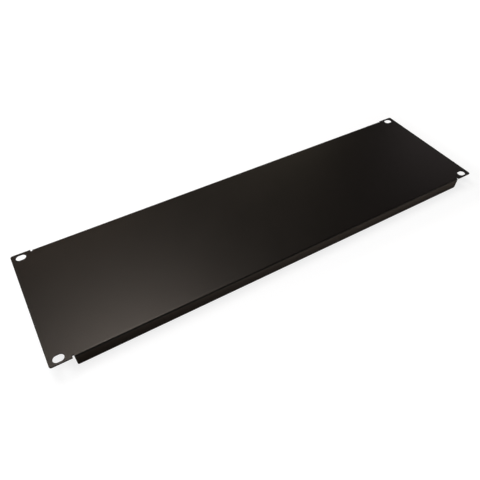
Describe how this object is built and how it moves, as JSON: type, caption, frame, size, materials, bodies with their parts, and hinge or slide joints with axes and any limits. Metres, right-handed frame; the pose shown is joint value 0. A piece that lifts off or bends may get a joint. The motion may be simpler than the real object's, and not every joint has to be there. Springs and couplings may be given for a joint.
{
  "type": "rack blanking panel",
  "caption": "Blanking panel for a 19-inch equipment rack: folded sheet steel with flanged long edges, slotted end ears and a satin black powder coat.",
  "frame": {"origin": "middle of the panel's outline, in the plane of the flanges' free edges", "axes": "+X along the panel's width, +Y across its height, +Z out of its front face, so the panel lies face up on its flanges"},
  "size_m": [0.4826, 0.1324, 0.0127],
  "materials": {
    "powder_coat": "satin black powder coat on steel sheet"
  },
  "bodies": {
    "root": {"blanking_panel": "powder_coat"}
  },
  "joints": []
}
